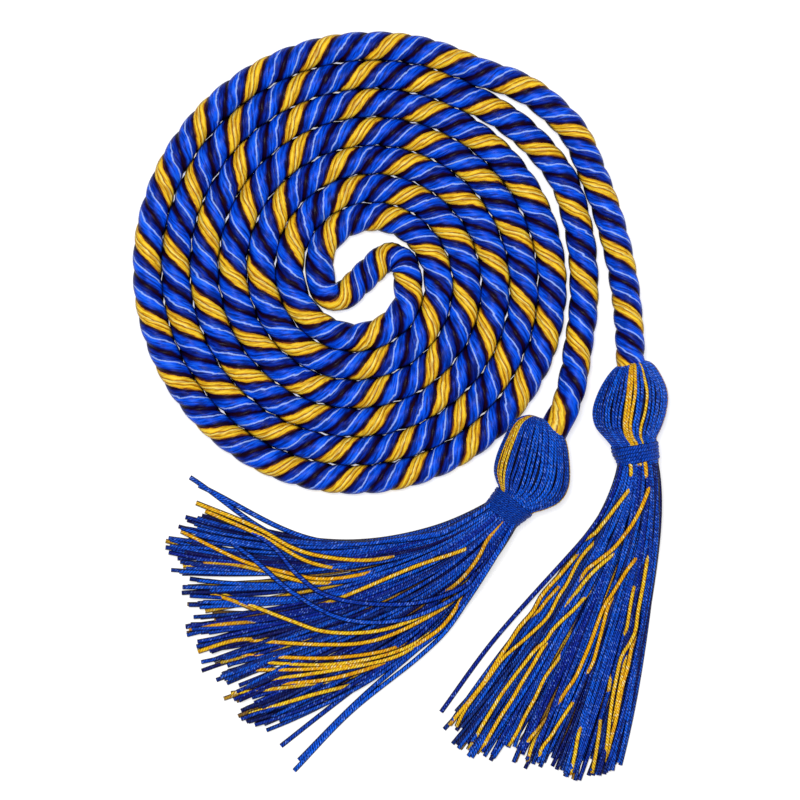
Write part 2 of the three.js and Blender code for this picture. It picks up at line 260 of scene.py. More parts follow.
# Both tassels, in mm. Rings give the head's two edges from the rope to the binding's end, the last
# two rings being the binding. Gold angles are degrees round the head, with its top at 90. Fan rows
# give a tip's turn, its reach and the way it ends. A third number in a run is how deep its thread
# lies there among the others.
rightTassel = {
    "name": "right",
    "headTurn": 270,
    "rootTurn": 276,
    "rootFlare": 12,
    "rootHold": 0.2,
    "seed": 4,
    "threads": 135,
    "rings": [
        (64.0, -22.2, 70.0, -21.2),
        (62.2, -23.2, 72.0, -21.8),
        (60.0, -25.8, 74.2, -24.8),
        (58.0, -29.5, 75.8, -29.0),
        (56.8, -33.8, 75.5, -33.5),
        (57.5, -37.2, 74.2, -37.5),
        (59.8, -40.0, 73.0, -40.0),
        (61.5, -42.2, 73.0, -40.5),
        (63.8, -48.0, 73.5, -46.2),
    ],
    "goldAngles": [98.5, 92, 85.6, 66, 3, 215, 290],
    "winds": 5.4,
    "windRadius": 0.62 * mm,
    "fan": [
        (234.5, 0.94, 229.5),
        (238.5, 0.95, 233),
        (242, 0.955, 237),
        (246, 0.91, 241),
        (250.5, 0.915, 245),
        (255, 0.91, 248),
        (259.3, 0.915, 251),
        (262.5, 0.91, 253.5),
        (265, 0.885, 255),
        (267.2, 0.86, 255),
    ],
    "goldRuns": [
        [
            (66.4, -47.5), (66.4, -49.8, 0.2), (66.4, -51, 1.3), (66.2, -52.6, 0.3), (64.6, -54.8),
            (62.8, -57.2), (60.9, -59.8), (59, -62.2), (57.8, -63.8, 0.1), (55.9, -65.1, 0.4),
            (54.5, -66.2, 1.2), (49, -74.5, 2.5), (39, -90.8, 2.5),
        ],
        [
            (70.1, -47.5), (70.2, -49.8, 0.2), (70.5, -51, 1.2), (70.9, -52.5, 0.3), (70.1, -54.8),
            (68.7, -58.2), (66.8, -61.7), (64.6, -64.8), (62.4, -67.6), (60.2, -69.5), (57.8, -71.4),
            (55.6, -73.2, 0.2), (53.4, -77, 0.7), (49, -85.2, 2), (40.2, -100.8, 2),
        ],
        [
            (63.4, -67.6, 0.7), (61.5, -69.8, 0.2), (59, -72), (56.5, -74.5), (54.3, -77.2, 0.2),
            (52.4, -79.8, 0.4), (50.5, -82, 0.5), (48.7, -84.8, 0.9), (44, -93.2, 2), (34, -109.5, 2),
        ],
        [
            (57.8, -66, 0.8), (55.9, -67.9, 0.1), (54, -70.4), (52.4, -73.2), (50.9, -76.4),
            (48.7, -79.8), (46, -84.9), (42.8, -88.2), (38.5, -92), (34.8, -95.2), (32.8, -97.8),
            (30.7, -100.8), (28.2, -104), (25.2, -108.2), (23.2, -112.4),
        ],
        [
            (53.7, -68.9, 0.8), (51.5, -71.4, 0.1), (49, -74.5), (46.5, -77.2), (44.2, -80),
            (42.2, -83.7), (39, -87.4), (36.5, -91.2), (34, -94.9), (31.9, -98.2), (29.8, -101.5),
            (27.2, -104.9), (24, -108.7), (21.5, -112),
        ],
        [
            (49.9, -76, 0.9), (47.8, -78.5, 0.3), (45.5, -81, 0.2), (44, -83.2, 0.2),
            (40.2, -86.2, 0.8), (34, -95.8, 2), (25.2, -109.5, 2),
        ],
        [
            (69.2, -67.6, 1), (67.8, -70.4, 0.4), (65.9, -72.9), (64, -76), (62.1, -79.2), (60.2, -82),
            (58.5, -86.2), (56.9, -90.8), (54.8, -95.8), (52.8, -100.2), (50.2, -104, 0.2),
            (47.8, -108.2, 0.8), (42.8, -118.2, 2),
        ],
        [
            (64, -77, 1), (61.8, -80.8, 0.3), (60.9, -82.8), (59.8, -87), (58.5, -92), (57.2, -96.5),
            (55.2, -100.2, 0.6), (52.8, -105.8, 1.6), (48, -118.2, 2),
        ],
        [
            (71, -69, 0.8), (70.4, -72.6), (69.8, -76.7), (69.2, -80.1), (68.5, -83.7), (67.8, -88.7),
            (66.5, -91.5, 0.2), (64.4, -94.9, 0.2), (63.2, -99.9), (62.2, -104.9), (61.5, -109.9),
            (60.9, -115.8), (60.2, -121.2),
        ],
        [
            (68.2, -85.8, 1.5), (67.8, -90.2, 0.8), (66.9, -92.8, 0.2), (66, -97.4), (64.8, -101.5),
            (63.8, -106.5), (62.8, -111.5), (61.5, -116.5, 0.3), (60.8, -120.2, 0.8),
        ],
        [
            (67.9, -76, 0.8), (67.2, -78.9, 0.1), (66.5, -82.8), (65.7, -87.8, 0.2), (64.6, -90.8, 0.9),
            (62, -98.2, 2), (58.5, -115.8, 2),
        ],
        [
            (56.8, -78.2, 0.9), (54.6, -80.8, 0.2), (52.4, -83.2), (50.2, -85.2), (47.2, -88.2),
            (45.2, -91.2), (43.2, -92.8), (40.2, -96.5), (36.9, -100.8), (34, -104.9), (31.5, -109),
            (29.4, -112.4), (28, -115.2),
        ],
        [
            (49, -86.2, 1.5), (46, -91, 0.5), (44.4, -93.2), (42.2, -97), (39.4, -101.5),
            (36.9, -105.8), (34.4, -109.5), (31.9, -113.7), (29.2, -118.7),
        ],
        [
            (51.9, -85.8, 0.9), (49.4, -89.9, 0.6), (46.9, -93.7, 0.9), (41.5, -103.2, 2),
            (35.2, -115.8, 2),
        ],
        [
            (51, -90.8, 0.9), (49, -94.9, 0.4), (47.2, -97.4, 0.2), (45.2, -100.2), (42.8, -105.2),
            (40.2, -109.9), (38.2, -114), (36.2, -117.2),
        ],
        [(53.5, -104.5, 0.8), (51, -108.2), (48.5, -112), (46.5, -115.2), (44.4, -117.8), (43.8, -121.5)],
        [(54.8, -110.8, 0.8), (53.5, -114.9), (52.8, -119), (51.7, -124.5)],
        [(43.8, -112.8, 0.8), (41.9, -114.9), (40.4, -117.2)],
        [(43, -115.2, 0.8), (41.8, -117.8), (41, -121.2)],
        [(59.4, -109, 0.8), (58.8, -114, 0.3), (57.8, -120.2, 0.2), (57.1, -124)],
        [(61.8, -99.5, 0.9), (61.5, -101.5, 0.4), (61, -104.9, 0.8), (59.8, -113.2, 1.6)],
        [(65.4, -95.7, 0.3), (64.4, -100.3), (63.1, -107.5), (61.5, -116.7)],
    ],
    "blueRuns": [],
    "strays": [
        [(53.1, -67.5), (32.4, -91.0), (19.3, -108.9)],
    ],
}
leftTassel = {
    "name": "left",
    "headTurn": 243,
    "rootTurn": 227,
    "rootFlare": 16.5,
    "rootHold": 0.33,
    "seed": 9,
    "threads": 125,
    "rings": [
        (42.5, -35.2, 44.5, -36.0),
        (40.8, -34.8, 46.8, -36.8),
        (37.5, -36.0, 50.0, -40.2),
        (34.8, -40.5, 51.2, -46.2),
        (33.0, -45.0, 51.0, -52.5),
        (32.5, -48.2, 49.0, -56.0),
        (33.2, -50.8, 45.5, -57.8),
        (33.8, -52.2, 42.0, -59.0),
        (30.0, -57.2, 37.2, -62.8),
    ],
    "goldAngles": [158.8, 152.4, 146, 139.6, 4, 200, 250, 320],
    "winds": 11.4,
    "windRadius": 0.31 * mm,
    "fan": [
        (180, 0.97, 165),
        (183.5, 1.0, 168),
        (187, 0.99, 173),
        (191.5, 0.985, 177),
        (196, 0.98, 182),
        (200.5, 0.99, 190),
        (205, 0.99, 195),
        (209.5, 0.99, 199),
        (214, 0.985, 202),
        (217.5, 0.96, 201),
        (220.8, 0.95, 202),
    ],
    "goldRuns": [
        [(21.5, -81.0), (12.8, -85.5), (2.6, -88.6), (-10.1, -88.6), (-17.8, -86.1), (-35.6, -79.2)],
        [(21.5, -81.5), (7.7, -89.1), (0.1, -91.4), (-10.1, -91.9), (-35.4, -90.4)],
        [(7.7, -92.7), (-7.6, -95.2), (-31.6, -94.5)],
        [(17, -88.6, 0.6), (9.3, -93.2), (-7.6, -96.8), (-31.6, -96.0)],
        [(5.2, -95.5), (-12, -97.9), (-29.5, -98.3)],
        [(14.5, -91, 0.5), (8, -94.9), (-7.6, -98.3), (-28.8, -101.4)],
        [(5.2, -96.3), (-7.6, -100.3), (-22.9, -102.1)],
        [(-2.5, -99.8, 1), (-17.8, -102.4, 0.4), (-33.3, -104.2)],
        [(0.1, -100.9, 1), (-12.7, -104.4), (-28.8, -109.3)],
        [(10, -71, 2), (0, -74.2, 0.3), (-11, -75.5), (-21, -73.5), (-29.5, -71.3), (-45.8, -63.6)],
        [
            (12.8, -67.7, 1), (2.6, -70.7, 0.3), (-11.2, -69.7), (-17.8, -67.7), (-27.0, -62.6),
            (-42.0, -56.5),
        ],
        [(14, -69, 2), (0, -73, 1.5), (-13, -71.5), (-24.9, -65.1), (-39.7, -58.5)],
        [(-2.5, -76, 1), (-14, -76.3), (-25, -73.5, 0.3), (-36, -71.5, 0.6), (-45.3, -72.3)],
        [(-22.9, -84.5, 1.2), (-34, -80.5, 0.3), (-38.4, -79.4)],
        [(-20, -86, 2), (-33, -86.6, 0.5), (-43.8, -88.1)],
        [(-20, -90.5, 1.5), (-32, -90.8, 0.2), (-41.5, -93.7)],
        [(25.6, -67.7), (12.8, -72.3), (-1.5, -78.4), (-8, -81, 0.6), (-20, -84, 1.5), (-38, -84, 2)],
        [
            (24.9, -79.3), (22, -84.3), (19, -87.9), (15.2, -90.6), (10.5, -93.6, 0.6), (0, -99.5, 1.5),
            (-20, -108, 1.5),
        ],
        [
            (30.6, -65.8, 0.35), (28.8, -69.4, 0.25), (26.2, -73.2, 0.25), (22.6, -77, 0.5),
            (16, -81, 1.6), (0, -86, 2),
        ],
    ],
    "blueRuns": [
        [(26.1, -76.4), (12.8, -81.5), (-8.6, -79.9), (-16.8, -74.3), (-22.9, -67.2), (-33.9, -60.5)],
        [(26.5, -77.4), (10.3, -85.5), (-5.0, -85.5), (-17.8, -78.9), (-28.0, -70.2), (-34, -66)],
    ],
    "strays": [
        [(17.4, -64.1), (-17.8, -66.2), (-43.6, -50.1)],
        [(17.4, -64.6), (-11.7, -65.9), (-41.4, -52.1)],
        [(22.5, -83.5), (16, -90.5), (7.7, -95.5), (-7.6, -107.0), (-20.8, -117.4)],
        [(26, -80.5), (20.5, -88.5), (14, -94.8), (-3.5, -109.0), (-17.5, -123.6)],
        [(25, -80), (19.5, -88), (12.8, -93.5), (-2.5, -107.0), (-16.3, -121.0)],
    ],
}


def heading(degrees):
    angle = math.radians(degrees)
    return np.array([math.cos(angle), math.sin(angle), 0.0])


def smoothStep(share, start, end):
    t = np.clip((share - start) / (end - start), 0, 1)
    return t * t * (3 - 2 * t)


def blend(a, b, share):
    return a + (b - a) * share


def unit(vectors):
    return vectors / np.linalg.norm(vectors, axis=-1, keepdims=True)


def lengthAlong(run):
    return np.concatenate([[0], np.cumsum(np.linalg.norm(np.diff(run, axis=0), axis=1))])


def bezier(start, leave, arrive, end, t):
    near = start * (1 - t) ** 3 + 3 * leave * t * (1 - t) ** 2
    return near + 3 * arrive * t**2 * (1 - t) + end * t**3


def flattened(point):
    return point * [1, 1, 0]


def runThrough(points, spacing=None, count=None):  # a smooth line in even steps
    finePoints = 24
    pts = np.array(points, float)
    pts = np.vstack([2 * pts[0] - pts[1], pts, 2 * pts[-1] - pts[-2]])
    dense = []
    for i in range(1, len(pts) - 2):
        a, b, c, d = pts[i - 1 : i + 3]
        tb = math.sqrt(np.linalg.norm((b - a)[:3]))
        tc = tb + math.sqrt(np.linalg.norm((c - b)[:3]))
        td = tc + math.sqrt(np.linalg.norm((d - c)[:3]))
        t = np.linspace(tb, tc, finePoints, endpoint=False)[:, None]
        ab = a + (b - a) * t / tb
        bc = b + (c - b) * (t - tb) / (tc - tb)
        cd = c + (d - c) * (t - tc) / (td - tc)
        abc = ab + (bc - ab) * t / tc
        bcd = bc + (cd - bc) * (t - tb) / (td - tb)
        dense.append(abc + (bcd - abc) * (t - tb) / (tc - tb))
    dense = np.vstack([*dense, pts[-2]])
    length = lengthAlong(dense[:, :3])
    steps = count or round(length[-1] / spacing) + 1
    even = np.linspace(0, length[-1], steps)
    return np.stack([np.interp(even, length, dense[:, k]) for k in range(pts.shape[1])], axis=1)


# A tube is a run of rings. Offsets hold each ring's outline, sideways and upwards
def tube(run, offsets, side=None, paint=0, note=None):
    ahead = unit(np.gradient(run, axis=0))
    if side is None:
        side = unit(np.cross([0, 0, 1], ahead))
    side = np.broadcast_to(side, run.shape)
    up = unit(np.cross(ahead, side))
    rings = run[:, None] + side[:, None] * offsets[..., :1] + up[:, None] * offsets[..., 1:]
    note = np.zeros(3) if note is None else np.asarray(note, float)
    return {
        "rings": rings,
        "along": lengthAlong(run) / mm,
        "paint": np.broadcast_to(paint, rings.shape[1]),
        "note": np.broadcast_to(note, rings.shape),
    }


def roundTube(run, radius, sides, **more):
    angle = np.linspace(0, 2 * math.pi, sides + 1)
    outline = np.stack([np.cos(angle), np.sin(angle)], axis=1)
    radius = np.broadcast_to(radius, len(run))
    return tube(run, radius[:, None, None] * outline[None], **more)


def tubePiece(name, tubes, materials):  # bends copies of one flat grid into closed tubes
    rings, columns = tubes[0]["rings"].shape[:2]
    sheet = bmesh.new()
    sheet.loops.layers.uv.new("yarnUv")
    bmesh.ops.create_grid(
        sheet, x_segments=columns - 1, y_segments=rings - 1, size=1, calc_uvs=True
    )
    template = bpy.data.meshes.new(name + "Sheet")
    sheet.to_mesh(template)
    sheet.free()
    flat = np.empty(len(template.vertices) * 3)
    template.vertices.foreach_get("co", flat)
    flat = flat.reshape(-1, 3)
    column = np.rint((flat[:, 0] + 1) / 2 * (columns - 1)).astype(int)
    ring = np.rint((flat[:, 1] + 1) / 2 * (rings - 1)).astype(int)
    joined = bmesh.new()
    for _ in tubes:
        joined.from_mesh(template)
    mesh = bpy.data.meshes.new(name)
    joined.to_mesh(mesh)
    joined.free()
    bpy.data.meshes.remove(template)

    places = np.concatenate([one["rings"][ring, column] for one in tubes])
    notes = np.concatenate([one["note"][ring, column] for one in tubes])
    along = np.concatenate([one["along"][ring] for one in tubes])
    paints = np.concatenate([one["paint"][column] for one in tubes])
    mesh.vertices.foreach_set("co", places.ravel())
    mesh.attributes.new("yarnNote", "FLOAT_VECTOR", "POINT")
    mesh.attributes["yarnNote"].data.foreach_set("vector", notes.ravel())
    corners = np.empty(len(mesh.loops), dtype=int)
    mesh.loops.foreach_get("vertex_index", corners)
    uv = np.stack([np.tile(column, len(tubes)) / (columns - 1), along], axis=1)
    mesh.uv_layers[0].data.foreach_set("uv", uv[corners].ravel())
    firstCorner = corners.reshape(-1, 4).min(axis=1)
    mesh.polygons.foreach_set("material_index", paints[firstCorner].astype(int))
    mesh.polygons.foreach_set("use_smooth", np.ones(len(mesh.polygons), dtype=bool))

    closed = bmesh.new()
    closed.from_mesh(mesh)
    bmesh.ops.remove_doubles(closed, verts=closed.verts, dist=1e-8)
    rims = [edge for edge in closed.edges if edge.is_boundary]
    bmesh.ops.holes_fill(closed, edges=rims, sides=0)
    bmesh.ops.recalc_face_normals(closed, faces=closed.faces)
    closed.to_mesh(mesh)
    closed.free()
    for material in materials:
        mesh.materials.append(material)
    piece = bpy.data.objects.new(name, mesh)
    bpy.context.collection.objects.link(piece)
    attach(piece, "root")
    return piece


# Materials
def fillSocket(tree, socket, value):
    if isinstance(value, bpy.types.NodeSocket):
        tree.links.new(value, socket)
    else:
        socket.default_value = value


def mathNode(tree, operation, first, second=0.0):
    node = tree.nodes.new("ShaderNodeMath")
    node.operation = operation
    fillSocket(tree, node.inputs[0], first)
    fillSocket(tree, node.inputs[1], second)
    return node.outputs[0]


def times(tree, first, second):
    return mathNode(tree, "MULTIPLY", first, second)


def plus(tree, first, second):
    return mathNode(tree, "ADD", first, second)


def rangeNode(tree, value, low, high, newLow, newHigh):
    node = tree.nodes.new("ShaderNodeMapRange")
    fillSocket(tree, node.inputs["Value"], value)
    fillSocket(tree, node.inputs["From Min"], low)
    fillSocket(tree, node.inputs["From Max"], high)
    fillSocket(tree, node.inputs["To Min"], newLow)
    fillSocket(tree, node.inputs["To Max"], newHigh)
    return node.outputs[0]


def mixColours(tree, share, first, second):
    node = tree.nodes.new("ShaderNodeMix")
    node.data_type = "RGBA"
    fillSocket(tree, node.inputs["Factor"], share)
    fillSocket(tree, node.inputs[6], first)
    fillSocket(tree, node.inputs[7], second)
    return node.outputs[2]


def noiseNode(tree, vector, detail):
    node = tree.nodes.new("ShaderNodeTexNoise")
    fillSocket(tree, node.inputs["Vector"], vector)
    node.inputs["Scale"].default_value = 1.0
    node.inputs["Detail"].default_value = detail
    return node.outputs["Fac"]


def joinXyz(tree, x, y, z=0.0):
    node = tree.nodes.new("ShaderNodeCombineXYZ")
    for k, value in enumerate((x, y, z)):
        fillSocket(tree, node.inputs[k], value)
    return node.outputs[0]


def stretched(tree, x, y, scales, z):  # a place for a noise, scaled on two of its ways
    return joinXyz(tree, times(tree, x, scales[0]), times(tree, y, scales[1]), z)


def splitXyz(tree, vector):
    node = tree.nodes.new("ShaderNodeSeparateXYZ")
    fillSocket(tree, node.inputs[0], vector)
    return node.outputs[0], node.outputs[1], node.outputs[2]


def yarnPlace(tree):  # share round the tube, mm along it
    node = tree.nodes.new("ShaderNodeUVMap")
    node.uv_map = "yarnUv"
    return splitXyz(tree, node.outputs[0])[:2]


def yarnNote(tree):  # a tint or a ply, then how much painted shade the place has
    node = tree.nodes.new("ShaderNodeAttribute")
    node.attribute_name = "yarnNote"
    return splitXyz(tree, node.outputs["Vector"])


def newGroup(name, inputs, outputs):
    group = bpy.data.node_groups.new(name, "ShaderNodeTree")
    for label, start in inputs.items():
        socket = group.interface.new_socket(label, in_out="INPUT", socket_type="NodeSocketFloat")
        socket.default_value = start
    for label in outputs:
        group.interface.new_socket(label, in_out="OUTPUT", socket_type="NodeSocketFloat")
    ends = group.nodes.new("NodeGroupInput"), group.nodes.new("NodeGroupOutput")
    return group, ends[0].outputs, ends[1].inputs


def placeGroup(tree, group, **values):
    node = tree.nodes.new("ShaderNodeGroup")
    node.node_tree = group
    for label, value in values.items():
        fillSocket(tree, node.inputs[label], value)
    return node.outputs


twistLook = {
    "lay": 3.1,  # mm of yarn for one turn of its plies
    "plies": 4.0,
    "ownStep": 40.0,  # how far apart two threads read the noise
    "hairs": (6.0, 1.4),
    "patches": (3.0, 1.6),
    "plyPower": 0.6,
    "hairHeight": 0.4,
    "plyLit": (0.0, 0.7),
    "hairLit": (0.38, 0.5, 0.2),
    "glintPatch": (0.6, 0.72, 0.7),
    "glintPly": (0.4, 0.9),
    # where a thread's painted side shade begins and where it is full
    "darkSide": (0.5, 0.82),
}


def makeTwistGroup():  # slanting plies round a thin yarn, with painted shade between the plies, painted glints, and painted shade on its sides
    given = {"lay": twistLook["lay"], "plies": twistLook["plies"]}
    group, given, result = newGroup("yarnTwist", given, ["height", "shade", "glint", "side"])
    share, along = yarnPlace(group)
    own = times(group, yarnNote(group)[0], twistLook["ownStep"])
    turns = plus(group, share, mathNode(group, "DIVIDE", along, given["lay"]))
    wave = mathNode(group, "SINE", times(group, turns, times(group, given["plies"], math.pi)))
    ply = mathNode(group, "ABSOLUTE", wave)
    hairs = noiseNode(group, stretched(group, turns, along, twistLook["hairs"], own), 2.0)
    patch = noiseNode(group, stretched(group, share, along, twistLook["patches"], own), 0.0)
    raised = mathNode(group, "POWER", ply, twistLook["plyPower"])
    height = plus(group, raised, times(group, hairs, twistLook["hairHeight"]))
    low, high, darkest = twistLook["hairLit"]
    hairLit = rangeNode(group, hairs, low, high, darkest, 1.0)
    lit = times(group, rangeNode(group, ply, *twistLook["plyLit"], 0.0, 1.0), hairLit)
    low, high, brightest = twistLook["glintPatch"]
    patchLit = rangeNode(group, patch, low, high, 0.0, brightest)
    glint = times(group, patchLit, rangeNode(group, ply, *twistLook["glintPly"], 0.0, 1.0))
    sideways = mathNode(group, "ABSOLUTE", mathNode(group, "COSINE", times(group, share, 2 * math.pi)))
    side = rangeNode(group, sideways, *twistLook["darkSide"], 0.0, 1.0)
    for label, value in (("height", height), ("shade", lit), ("glint", glint), ("side", side)):
        fillSocket(group, result[label], value)
    return group


satinLook = {
    "slowAlong": 0.45,
    "sway": 0.34,  # how far the filaments wander, as a share of a ply
    "slant": (8.5, 0.25),
    "fineAlong": 0.45,
    "broad": (3.0, 0.3),
    # where the painted highlight line runs across a ply
    "lineAt": 0.4,
    "lineEdge": (0.014, 0.05),
    "fineShare": 0.8,
    "broadShare": 0.2,
    "streak": (0.42, 0.52),
    # painted sheen, laid on each ply's crown
    "sheenRange": (0.53, 0.62, 0.4),
    "crownLit": (0.5, 0.95),
}


def makeFilamentGroup():  # place across a ply, satin filaments that run along it, and masks for a painted highlight line and a painted sheen on the crown
    labels = ["across", "crown", "line", "height", "shade"]
    group, given, result = newGroup("satinFilaments", {"start": 0.0, "sides": 15.0}, labels)
    share, along = yarnPlace(group)
    ply = yarnNote(group)[0]
    column = times(group, share, float(sum(rope["plySides"])))
    column = mathNode(group, "SUBTRACT", column, given["start"])
    across = mathNode(group, "FRACT", mathNode(group, "DIVIDE", column, given["sides"]))
    slow = noiseNode(group, joinXyz(group, times(group, along, satinLook["slowAlong"]), ply), 3.0)
    sway = times(group, mathNode(group, "SUBTRACT", slow, 0.5), satinLook["sway"])
    lane = plus(group, across, sway)
    acrossStep, alongStep = satinLook["slant"]
    slant = plus(group, times(group, across, acrossStep), times(group, along, alongStep))
    fine = noiseNode(group, joinXyz(group, slant, times(group, along, satinLook["fineAlong"]), ply), 3.0)
    broad = noiseNode(group, stretched(group, across, along, satinLook["broad"], ply), 1.0)
    aside = mathNode(group, "ABSOLUTE", mathNode(group, "SUBTRACT", lane, satinLook["lineAt"]))
    line = rangeNode(group, aside, *satinLook["lineEdge"], 1.0, 0.0)
    crown = mathNode(group, "SINE", times(group, across, math.pi))
    fineShade = times(group, fine, satinLook["fineShare"])
    mixed = plus(group, fineShade, times(group, broad, satinLook["broadShare"]))
    for label, value in zip(labels, (lane, crown, line, fine, mixed)):
        fillSocket(group, result[label], value)
    return group


def rampNode(tree, value, stops):
    node = tree.nodes.new("ShaderNodeValToRGB")
    fillSocket(tree, node.inputs[0], value)
    ramp = node.color_ramp.elements
    while len(ramp) < len(stops):
        ramp.new(0.5)
    for element, (place, colour) in zip(ramp, stops):
        element.position = place
        element.color = colour
    return node.outputs[0]


def newMaterial(name, roughness):
    material = bpy.data.materials.new(name)
    material.use_nodes = True
    tree = material.node_tree
    shader = next(node for node in tree.nodes if node.type == "BSDF_PRINCIPLED")
    shader.inputs["Roughness"].default_value = roughness
    return material, tree, shader


def bumpNode(tree, height, strength, distance):
    node = tree.nodes.new("ShaderNodeBump")
    node.inputs["Strength"].default_value = strength
    node.inputs["Distance"].default_value = distance
    fillSocket(tree, node.inputs["Height"], height)
    return node.outputs[0]


# dark is the painted shade between a yarn's plies, and glint is a painted highlight
yarnLooks = {
    "blueYarn": {
        "lay": 3.1,
        "dark": shade(0, 14, 92),
        "middle": shade(0, 42, 160),
        "light": shade(18, 108, 255),
        "glint": shade(110, 150, 255),
    },
    "goldYarn": {
        "lay": 3.1,
        "dark": shade(200, 116, 6),
        "middle": shade(250, 184, 12),
        "light": shade(255, 220, 50),
        "glint": shade(255, 250, 190),
    },
    "bindingYarn": {
        "lay": 2.6,
        "dark": shade(0, 16, 84),
        "middle": shade(2, 66, 184),
        "light": shade(12, 92, 222),
        "glint": shade(50, 112, 230),
    },
}
# painted shade on a thread's sides, and on threads lying deep among the others
yarnSideShade = shade(10, 0, 34)
yarnDepthShade = shade(22, 4, 48)


def makeYarn(name, twist, lay, dark, middle, light, glint):
    material, tree, shader = newMaterial(name, 0.5)
    shader.inputs["Specular IOR Level"].default_value = 0.15
    out = placeGroup(tree, twist, lay=lay)
    tint, deep, _ = yarnNote(tree)
    body = mixColours(tree, tint, middle, light)
    # painted shade between the plies, painted glints, then painted shade on the sides and by depth
    twisted = mixColours(tree, out["shade"], dark, body)
    glinting = mixColours(tree, out["glint"], twisted, glint)
    sideShaded = mixColours(tree, out["side"], glinting, yarnSideShade)
    depthShaded = mixColours(tree, times(tree, deep, 0.9), sideShaded, yarnDepthShade)
    fillSocket(tree, shader.inputs["Base Color"], depthShaded)
    fillSocket(tree, shader.inputs["Normal"], bumpNode(tree, out["height"], 1.0, 0.2 * mm))
    return material


# the bright colour is a painted sheen on each ply's crown, and line is how strong a painted highlight
# line is
plyLooks = {
    "blueRope": {
        "start": 0.0,
        "sides": 15.0,
        "stops": rope["blueAcrossPaintedShading"],
        "streak": shade(6, 0, 50),
        "tone": 0.6,
        "sheenColour": shade(50, 126, 255),
        "line": 0.85,
    },
    "goldRope": {
        "start": 30.0,
        "sides": 12.0,
        "stops": rope["goldAcrossPaintedShading"],
        "streak": shade(150, 84, 2),
        "tone": 0.5,
        "sheenColour": shade(255, 226, 70),
        "line": 0.0,
    },
}
# a painted highlight line along each ply, and painted shade on the rope's sides
plyHighlightLine = shade(156, 184, 255)
plyShadow = shade(16, 0, 20)


def makePly(name, filaments, start, sides, stops, streak, tone, sheenColour, line):
    material, tree, shader = newMaterial(name, 0.36)
    shader.inputs["Specular IOR Level"].default_value = 0.1
    out = placeGroup(tree, filaments, start=start, sides=sides)
    # the ply's colour with dark filament streaks, then a painted sheen on the crown, a painted highlight
    # line and painted side shade
    body = rampNode(tree, out["across"], stops)
    streakShare = rangeNode(tree, out["shade"], *satinLook["streak"], tone, 0.0)
    streaked = mixColours(tree, streakShare, body, streak)
    low, high, most = satinLook["sheenRange"]
    paintedSheen = mixColours(tree, rangeNode(tree, out["shade"], low, high, 0.0, most), streaked, sheenColour)
    crownShare = rangeNode(tree, out["crown"], *satinLook["crownLit"], 0.0, 1.0)
    crownSheen = mixColours(tree, crownShare, streaked, paintedSheen)
    withHighlightLine = mixColours(tree, times(tree, out["line"], line), crownSheen, plyHighlightLine)
    sideShaded = mixColours(tree, yarnNote(tree)[1], withHighlightLine, plyShadow)
    fillSocket(tree, shader.inputs["Base Color"], sideShaded)
    fillSocket(tree, shader.inputs["Normal"], bumpNode(tree, out["height"], 0.8, 0.35 * mm))
    return material


# Camera, floor and light
def placeCamera():
    span = photo["pixels"] * photo["mmPerPixel"] * mm
    lens = bpy.data.cameras.new("photoCamera")
    lens.sensor_width = studio["sensor"]
    lens.lens = studio["sensor"] * studio["cameraHeight"] / span
    camera = bpy.data.objects.new("photoCamera", lens)
    middle = photo["pixels"] / 2
    camera.location = (
        (middle - photo["coilX"]) * photo["mmPerPixel"] * mm,
        (photo["coilY"] - middle) * photo["mmPerPixel"] * mm,
        studio["cameraHeight"] + rope["height"],
    )
    bpy.context.collection.objects.link(camera)
    bpy.context.scene.camera = camera


def layFloor():
    sheet = bmesh.new()
    bmesh.ops.create_grid(sheet, x_segments=1, y_segments=1, size=studio["floorSize"] / 2)
    mesh = bpy.data.meshes.new("floor")
    sheet.to_mesh(mesh)
    sheet.free()
    floor = bpy.data.objects.new("floor", mesh)
    bpy.context.collection.objects.link(floor)
    material, tree, shader = newMaterial("whitePaper", 0.9)
    shader.inputs["Base Color"].default_value = (*[studio["paper"]] * 3, 1)
    shader.inputs["Specular IOR Level"].default_value = 0.1
    shader.inputs["Emission Color"].default_value = (1, 1, 1, 1)
    shader.inputs["Emission Strength"].default_value = studio["paperGlow"]
    mesh.materials.append(material)


def lightStudio():
    scene = bpy.context.scene
    scene.view_settings.view_transform = "Standard"
    world = bpy.data.worlds.new("studioWhite")
    world.use_nodes = True
    sky = next(node for node in world.node_tree.nodes if node.type == "BACKGROUND")
    sky.inputs["Color"].default_value = (1, 1, 1, 1)
    sky.inputs["Strength"].default_value = studio["worldLight"]
    scene.world = world
    for k, (place, size, watts) in enumerate(studio["lights"]):
        lamp = bpy.data.lights.new(f"softLight{k}", "AREA")
        lamp.size = size
        lamp.energy = watts
        light = bpy.data.objects.new(f"softLight{k}", lamp)
        light.location = place
        aim = np.array(studio["aim"]) - np.array(place)
        light.rotation_euler = (
            math.atan2(math.hypot(aim[0], aim[1]), -aim[2]),
            0,
            math.atan2(aim[1], aim[0]) - math.pi / 2,
        )
        bpy.context.collection.objects.link(light)


# Rope
def laidPoint(x, y, rise=0):
    height = blend(rope["height"], headHeight, rise)
    return np.array([x * rope["spacing"], y * rope["spacing"], height])


def armPoints(startAngle, turns):
    points = []
    for i in range(round(turns * rope["stepsPerTurn"]) + 1):
        turned = i / rope["stepsPerTurn"]
        point = heading(startAngle - 360 * turned) * (rope["armStart"] + 2 * turned)
        points.append(laidPoint(point[0], point[1]))
    return points


def ropeEnds():
    return laidPoint(*rightLead[-1]), laidPoint(*leftLead[-1])


